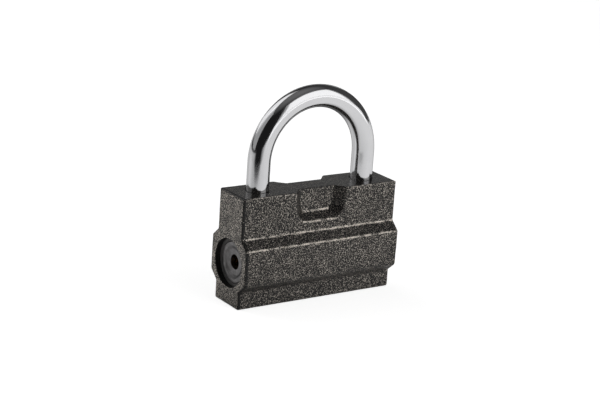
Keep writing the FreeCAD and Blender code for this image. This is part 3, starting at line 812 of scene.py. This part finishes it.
def coat_finish(settings):
    """Hammered powder coat: silver flecks over black, thinner on top, with painted highlight lines
    of silver along the long edges, painted sheen on the end faces, and painted shade at the
    keyhole end's corners and in the bore.
    """
    f = Finish("hammered_coat")
    place = f.place()
    grain = settings.grain
    veins = f.noise(place, grain, detail=2.0, roughness=0.5, distortion=0.3)
    flecks = f.noise(place, grain * 0.5, detail=1.0)
    clouds = f.noise(place, grain * CLOUD_CELLS, detail=2.0)
    veins = f.math("MULTIPLY", veins, VEIN_SHARE)
    grit = f.math("ADD", veins, f.math("MULTIPLY", flecks, 1 - VEIN_SHARE))
    drift = f.math("MULTIPLY", f.math("SUBTRACT", clouds, 0.5), CLOUD_SHARE)
    grit = f.math("ADD", grit, drift)
    parts = f.add("ShaderNodeSeparateXYZ", Vector=place)
    along, side, height = (parts.outputs[axis] for axis in "XYZ")
    top = f.math("SUBTRACT", height, BODY_HEIGHT - TOP_FADE_FROM)
    top = f.math("MULTIPLY", top, 1 / TOP_FADE)
    top = f.add("ShaderNodeClamp", Value=top).outputs[0]
    # Painted shade in the cylinder's bore: the flecks are taken out there, and the coat is made
    # duller
    radius = f.radius(side, f.math("SUBTRACT", height, CYLINDER_Z))
    bore = f.math("LESS_THAN", radius, BORE_RADIUS + BORE_MARGIN)
    inside = f.math("GREATER_THAN", along, BORE_MARGIN - BODY_HALF_LENGTH)
    short = f.math("LESS_THAN", along, CHAMBER_END_X + CHAMBER_MARGIN)
    bore = f.math("MULTIPLY", bore, f.math("MULTIPLY", inside, short))
    bore = f.math("MULTIPLY", bore, BORE_SHADE_PLAIN)
    # Fewer flecks on top, and the painted shade of the bore
    plain = f.math("MAXIMUM", f.math("MULTIPLY", top, TOP_PLAIN), bore)
    # Painted highlight lines: silver laid along the long edges, patchy with the clouds
    highlight_patches = f.math("MULTIPLY", f.math("MULTIPLY", clouds, clouds), EDGE_HIGHLIGHT_GAIN)
    edge_highlight = f.math("MULTIPLY", silver_edges(f, along, side, height), highlight_patches)
    # Adds the painted sheen on the end faces and the painted shade along the keyhole end's corners
    silver = f.math("ADD", f.math("ADD", grit, edge_highlight), silver_ends(f, along))
    mask = f.ramp(silver, (BLACK_ENDS, 0.0), (SILVER_STARTS, 1.0))
    mask = f.math("MULTIPLY", mask, f.math("SUBTRACT", 1.0, plain))
    f.put(f.shader, "Base Color", f.mix(mask, colour(settings.black), colour(settings.silver)))
    f.put(f.shader, "Metallic", mask)
    f.put(f.shader, "Specular IOR Level", COAT_SPECULAR)
    rough = f.math("SUBTRACT", COAT_ROUGHNESS, f.math("MULTIPLY", top, TOP_GLOSS))
    f.put(f.shader, "Roughness", f.math("ADD", rough, f.math("MULTIPLY", bore, BORE_DULL)))
    f.put(f.shader, "Normal", f.bump(grit, COAT_BUMP, 1.0))
    return f.material


def chrome_finish(settings):
    """Polished chrome: hazy patches of tone and roughness, and a faint fine bump."""
    f = Finish("polished_chrome")
    place = f.place()
    haze = f.noise(place, 9 * MM, detail=3.0)
    fine = f.noise(place, 0.35 * MM, detail=2.0)
    rough = f.math("ADD", settings.roughness * 0.6, f.math("MULTIPLY", haze, settings.roughness))
    f.put(f.shader, "Base Color", f.mix(haze, colour(settings.chrome), (0.70, 0.70, 0.715)))
    f.put(f.shader, "Metallic", 1.0)
    f.put(f.shader, "Roughness", rough)
    f.put(f.shader, "Normal", f.bump(fine, 0.004 * MM, 0.4))
    return f.material


def turned_finish(name, base, worn, roughness, ring_pitch, axis_z):
    """Turned metal: fine rings about the cylinder's axis, with darker and worn patches."""
    f = Finish(name)
    place = f.place()
    parts = f.add("ShaderNodeSeparateXYZ", Vector=place)
    radius = f.radius(parts.outputs["Y"], f.math("SUBTRACT", parts.outputs["Z"], axis_z))
    wander = f.math("MULTIPLY", f.noise(place, 1.2 * MM), ring_pitch * 0.7)
    phase = f.math("MULTIPLY", f.math("ADD", radius, wander), 2 * math.pi / ring_pitch)
    rings = f.math("ADD", f.math("MULTIPLY", f.math("SINE", phase), 0.5), 0.5)
    patches = f.ramp(f.noise(place, 2.4 * MM, detail=4.0, roughness=0.6), (0.40, 0.0), (0.68, 1.0))
    shade = f.math("ADD", f.math("MULTIPLY", patches, 0.7), f.math("MULTIPLY", rings, 0.3))
    f.put(f.shader, "Base Color", f.mix(shade, base, worn))
    f.put(f.shader, "Metallic", 1.0)
    f.put(f.shader, "Roughness", f.math("ADD", roughness, f.math("MULTIPLY", patches, 0.12)))
    f.put(f.shader, "Normal", f.bump(rings, 0.03 * MM, 0.7))
    return f.material


def matte_finish(name, base):
    """Dull metal with a soft mottle, dark enough to sit between the coat and the plate."""
    f = Finish(name)
    place = f.place()
    mottle = f.noise(place, 1.1 * MM, detail=3.0)
    worn = tuple(min(1.0, 1.7 * part) for part in base)
    f.put(f.shader, "Base Color", f.mix(mottle, base, worn))
    f.put(f.shader, "Metallic", 0.35)
    f.put(f.shader, "Roughness", 0.55)
    f.put(f.shader, "Normal", f.bump(mottle, 0.03 * MM, 0.5))
    return f.material


def ground_finish(name, base, worn, roughness):
    """Ground metal: short straight scratches along X over soft patches."""
    f = Finish(name)
    place = f.place()
    stretched = f.add("ShaderNodeMapping", Vector=place, Scale=(0.12, 1.0, 1.0)).outputs[0]
    lines = f.noise(stretched, 0.12 * MM, detail=2.0)
    patches = f.noise(place, 3 * MM, detail=3.0)
    f.put(f.shader, "Base Color", f.mix(patches, base, worn))
    f.put(f.shader, "Metallic", 1.0)
    f.put(f.shader, "Roughness", f.math("ADD", roughness, f.math("MULTIPLY", lines, 0.15)))
    f.put(f.shader, "Normal", f.bump(lines, 0.01 * MM, 0.5))
    return f.material


def dress_nodes(material, *names):
    """Gives CAD nodes a material."""
    for name in names:
        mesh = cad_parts[name].data
        mesh.materials.clear()
        mesh.materials.append(material)


def nodes_like(prefix):
    """Names of the CAD nodes that start with a prefix."""
    return sorted(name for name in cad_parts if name.startswith(prefix))


class PADLOCK_OT_body(Operator):
    """Cast body with its bores, finger recesses and hammered coat"""

    bl_idname = "padlock.body"
    bl_label = "Body"

    def execute(self, context):
        settings = context.scene.padlock_coat
        grid, skin, poles = body_grid()
        grid = hammered(grid, skin, settings.dent_depth, settings.sway_depth)
        piece = shape_grid("hammered_body", grid, poles[0], poles[1], sharp_deg=62.0)
        piece.data.materials.append(coat_finish(settings))
        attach(piece, "body")
        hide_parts("body_casting")
        return {"FINISHED"}


class PADLOCK_OT_shackle(Operator):
    """Polished shackle with a notch inside each leg"""

    bl_idname = "padlock.shackle"
    bl_label = "Shackle"

    def execute(self, context):
        tips = (-LEG_X, 0.0, TIP_Z), (LEG_X, 0.0, TIP_Z)
        piece = shape_grid("polished_shackle", shackle_grid(), tips[0], tips[1], sharp_deg=40.0)
        piece.data.materials.append(chrome_finish(context.scene.padlock_shackle))
        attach(piece, "shackle")
        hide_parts("shackle")
        return {"FINISHED"}


class PADLOCK_OT_front_plate(Operator):
    """Dished front plate with the keyhole, and the finish of the shell round it"""

    bl_idname = "padlock.front_plate"
    bl_label = "Front plate"

    def execute(self, context):
        settings = context.scene.padlock_plate
        grid = front_plate_grid(settings.dish_radius, settings.dish_depth)
        piece = shape_grid("dished_plate", grid, close_rows=True, sharp_deg=30.0)
        steel = colour(settings.steel)
        worn = tuple(min(1.0, 2.2 * part) for part in steel)
        finish = turned_finish("blackened_steel", steel, worn, 0.28, 0.55 * MM, CYLINDER_Z)
        piece.data.materials.append(finish)
        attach(piece, "body")
        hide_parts("front_plate")
        dress_nodes(matte_finish("matte_shell", (0.115, 0.11, 0.108)), "cylinder_shell")
        return {"FINISHED"}


class PADLOCK_OT_cylinder_parts(Operator):
    """Finishes for the core, discs, washers, snap ring and cam"""

    bl_idname = "padlock.cylinder_parts"
    bl_label = "Cylinder parts"

    def execute(self, context):
        brass = turned_finish(
            "turned_brass", (0.60, 0.42, 0.17), (0.80, 0.62, 0.32), 0.24, 0.18 * MM, CYLINDER_Z
        )
        steel = turned_finish(
            "turned_steel", (0.36, 0.36, 0.37), (0.58, 0.58, 0.59), 0.26, 0.14 * MM, CYLINDER_Z
        )
        dress_nodes(brass, "core_barrel", "barrel_cam", *nodes_like("locking_disc"))
        dress_nodes(steel, "core_snap_ring", "thrust_washer", *nodes_like("spacer_washer"))
        return {"FINISHED"}


class PADLOCK_OT_bolt_parts(Operator):
    """Finishes for the bolts, their pins, the sidebar and the split pin"""

    bl_idname = "padlock.bolt_parts"
    bl_label = "Bolt parts"

    def execute(self, context):
        ground = ground_finish("ground_steel", (0.42, 0.42, 0.43), (0.60, 0.60, 0.61), 0.24)
        spring = ground_finish("spring_steel", (0.10, 0.10, 0.11), (0.22, 0.21, 0.20), 0.34)
        dress_nodes(ground, "left_bolt", "right_bolt", "sidebar")
        dress_nodes(ground, "left_follower_pin", "right_follower_pin")
        dress_nodes(spring, "shell_split_pin")
        return {"FINISHED"}


def bearing(azimuth, elevation):
    """Unit direction. Azimuth 0 is the front, -Y, and grows towards -X, the keyhole's end."""
    turn, lift = math.radians(azimuth), math.radians(elevation)
    level = math.cos(lift)
    return Vector((-math.sin(turn) * level, -math.cos(turn) * level, math.sin(lift)))


def softbox(name, azimuth, elevation, half_width, half_height, radiance):
    """Rectangular soft light seen from the lock at a bearing, with half sizes in degrees."""
    width = 2 * LIGHT_DISTANCE * math.tan(math.radians(half_width))
    height = 2 * LIGHT_DISTANCE * math.tan(math.radians(half_height))
    data = bpy.data.lights.new(name, "AREA")
    data.shape = "RECTANGLE"
    data.size, data.size_y = width, height
    data.energy = radiance * math.pi * width * height
    lamp = bpy.data.objects.new(name, data)
    away = bearing(azimuth, elevation)
    lamp.location = Vector((0.0, 0.0, LIGHT_AIM_Z)) + away * LIGHT_DISTANCE
    lamp.rotation_euler = (-away).to_track_quat("-Z", "Y").to_euler()
    lamp.visible_camera = False
    bpy.context.scene.collection.objects.link(lamp)


def wide_plane(name, height, material):
    """Wide level square of the stage."""
    mesh = bpy.data.meshes.new(name)
    corners = [(-FLOOR_HALF, -FLOOR_HALF), (FLOOR_HALF, -FLOOR_HALF)]
    corners += [(FLOOR_HALF, FLOOR_HALF), (-FLOOR_HALF, FLOOR_HALF)]
    mesh.from_pydata([(x, y, height) for x, y in corners], [], [(0, 1, 2, 3)])
    mesh.materials.append(material)
    plane = bpy.data.objects.new(name, mesh)
    bpy.context.scene.collection.objects.link(plane)
    return plane


def pale_floor(settings):
    """Pale light table under the lock, which glows a little so that it stays near white."""
    f = Finish("studio_floor")
    f.put(f.shader, "Base Color", (*colour(settings.floor), 1))
    f.put(f.shader, "Roughness", 0.9)
    f.put(f.shader, "Specular IOR Level", 0.0)
    f.put(f.shader, "Emission Color", (*colour(settings.floor), 1))
    f.put(f.shader, "Emission Strength", settings.floor_glow)
    floor = wide_plane("studio_floor", 0.0, f.material)
    floor.visible_diffuse = False
    floor.visible_glossy = False


def glow_ramp(finish, turn, stops):
    """Brightness by bearing through (degrees, level) stops."""
    made = finish.add("ShaderNodeValToRGB", {}, Fac=turn)
    while len(made.color_ramp.elements) < len(stops):
        made.color_ramp.elements.new(0.5)
    for element, (degrees, level) in zip(made.color_ramp.elements, stops):
        element.position = degrees / 360 + 0.5
        element.color = (level, level, level, 1)
    return made.outputs["Color"]


def bounce_board():
    """Board just under the floor that the lock sees in its place: bright in front, dark in parts.

    The brightness goes by the bearing from the lock. It changes from the near stops to the far
    ones at a straight edge in front on the left, and falls off in the lock's own shade.
    """
    f = Finish("bounce_board")
    place = f.place()
    turn = f.add("ShaderNodeTexGradient", {"gradient_type": "RADIAL"}, Vector=place).outputs["Fac"]
    ahead = f.vector("DOT_PRODUCT", place, tuple(bearing(EDGE_AZIMUTH, 0)), "Value")
    away = f.math("SUBTRACT", ahead, TABLE_EDGE_NEAR)
    away = f.math("MULTIPLY", away, 1 / (TABLE_EDGE_FAR - TABLE_EDGE_NEAR))
    away = f.add("ShaderNodeClamp", Value=away).outputs[0]
    glow = f.mix(away, glow_ramp(f, turn, NEAR_GLOW), glow_ramp(f, turn, FAR_GLOW))
    past = f.vector("SUBTRACT", f.vector("ABSOLUTE", place), (BODY_HALF_LENGTH, BASE_HALF, 0.0))
    past = f.vector("LENGTH", f.vector("MAXIMUM", past, (0.0, 0.0, 0.0)), output="Value")
    open_air = f.add("ShaderNodeClamp", Value=f.math("MULTIPLY", past, 1 / SHADE_REACH)).outputs[0]
    glow = f.mix(open_air, f.mix(SHADE_LEVEL, (0.0, 0.0, 0.0), glow), glow)
    f.put(f.shader, "Base Color", (0.0, 0.0, 0.0, 1))
    f.put(f.shader, "Specular IOR Level", 0.0)
    f.put(f.shader, "Emission Color", glow)
    f.put(f.shader, "Emission Strength", 1.0)
    board = wide_plane("bounce_board", -1.0 * MM, f.material)
    board.visible_camera = False
    board.visible_shadow = False


def studio_air():
    """Dim room, a little lighter overhead and to the right, behind a plain white backdrop."""
    world = bpy.data.worlds.new("studio_air")
    world.use_nodes = True
    tree = world.node_tree
    room = tree.nodes["Background"]
    way = tree.nodes.new("ShaderNodeTexCoord")
    parts = tree.nodes.new("ShaderNodeSeparateXYZ")
    tree.links.new(way.outputs["Generated"], parts.inputs[0])
    level = None
    for axis, low, high, gain in (("X", 0.0, 1.0, 0.06), ("Z", 0.75, 0.98, 0.13)):
        step = tree.nodes.new("ShaderNodeMapRange")
        tree.links.new(parts.outputs[axis], step.inputs["Value"])
        step.inputs["From Min"].default_value = low
        step.inputs["From Max"].default_value = high
        step.inputs["To Min"].default_value = 0.012 if level is None else 0.0
        step.inputs["To Max"].default_value = gain
        if level is None:
            level = step.outputs[0]
            continue
        total = tree.nodes.new("ShaderNodeMath")
        tree.links.new(level, total.inputs[0])
        tree.links.new(step.outputs[0], total.inputs[1])
        level = total.outputs[0]
    tree.links.new(level, room.inputs["Strength"])
    backdrop = tree.nodes.new("ShaderNodeBackground")
    seen = tree.nodes.new("ShaderNodeLightPath")
    either = tree.nodes.new("ShaderNodeMixShader")
    tree.links.new(seen.outputs["Is Camera Ray"], either.inputs[0])
    tree.links.new(room.outputs[0], either.inputs[1])
    tree.links.new(backdrop.outputs[0], either.inputs[2])
    tree.links.new(either.outputs[0], tree.nodes["World Output"].inputs["Surface"])
    backdrop.inputs["Color"].default_value = (1.0, 1.0, 1.0, 1)
    room.inputs["Color"].default_value = (1.0, 1.0, 1.0, 1)
    bpy.context.scene.world = world


def studio_camera(settings):
    """Camera at the front left, above the lock and rolled a little, with a small shift."""
    yaw, pitch, roll = (math.radians(a) for a in (CAMERA_YAW, CAMERA_PITCH, CAMERA_ROLL))
    aim = Vector((0.0, 0.0, CAMERA_AIM_Z))
    ahead = Vector(
        (math.sin(yaw) * math.cos(pitch), math.cos(yaw) * math.cos(pitch), -math.sin(pitch))
    )
    data = bpy.data.cameras.new("studio_camera")
    data.lens = settings.lens
    data.sensor_width = 36.0
    data.shift_x, data.shift_y = CAMERA_SHIFT
    data.clip_start = 0.01
    camera = bpy.data.objects.new("studio_camera", data)
    facing = ahead.to_track_quat("-Z", "Y").to_matrix().to_4x4()
    camera.matrix_world = (
        Matrix.Translation(aim - ahead * settings.camera_distance)
        @ facing
        @ Matrix.Rotation(roll, 4, "Z")
    )
    bpy.context.scene.collection.objects.link(camera)
    bpy.context.scene.camera = camera


class PADLOCK_OT_stage(Operator):
    """Pale floor, soft studio lights and the camera"""

    bl_idname = "padlock.stage"
    bl_label = "Stage"

    def execute(self, context):
        settings = context.scene.padlock_studio
        pale_floor(settings)
        bounce_board()
        studio_air()
        for box in SOFTBOXES:
            softbox(*box)
        studio_camera(settings)
        context.scene.view_settings.view_transform = "Standard"
        return {"FINISHED"}


SETTINGS = {
    "padlock_coat": PadlockCoatSettings,
    "padlock_shackle": PadlockShackleSettings,
    "padlock_plate": PadlockPlateSettings,
    "padlock_studio": PadlockStudioSettings,
}
OPERATORS = [
    PADLOCK_OT_body,
    PADLOCK_OT_shackle,
    PADLOCK_OT_front_plate,
    PADLOCK_OT_cylinder_parts,
    PADLOCK_OT_bolt_parts,
    PADLOCK_OT_stage,
]


class PADLOCK_PT_panel(Panel):
    """Sidebar list of the padlock's operators and settings"""

    bl_idname = "PADLOCK_PT_panel"
    bl_label = "Padlock"
    bl_space_type = "VIEW_3D"
    bl_region_type = "UI"
    bl_category = "Padlock"

    def draw(self, context):
        for operator in OPERATORS:
            self.layout.operator(operator.bl_idname)
        for name, group in SETTINGS.items():
            box = self.layout.box()
            box.label(text=group.__doc__)
            for field in group.__annotations__:
                box.prop(getattr(context.scene, name), field)


def register():
    """Registers the settings, operators and panel."""
    for group in SETTINGS.values():
        bpy.utils.register_class(group)
    for name, group in SETTINGS.items():
        setattr(bpy.types.Scene, name, PointerProperty(type=group))
    for kind in OPERATORS + [PADLOCK_PT_panel]:
        bpy.utils.register_class(kind)


def unregister():
    """Takes the panel, operators and settings away again."""
    for kind in [PADLOCK_PT_panel] + OPERATORS[::-1]:
        bpy.utils.unregister_class(kind)
    for name in SETTINGS:
        delattr(bpy.types.Scene, name)
    for group in SETTINGS.values():
        bpy.utils.unregister_class(group)


def main():
    """Builds every piece in order."""
    register()
    bpy.ops.padlock.body()
    bpy.ops.padlock.shackle()
    bpy.ops.padlock.front_plate()
    bpy.ops.padlock.cylinder_parts()
    bpy.ops.padlock.bolt_parts()
    bpy.ops.padlock.stage()


if __name__ == "__main__":
    main()
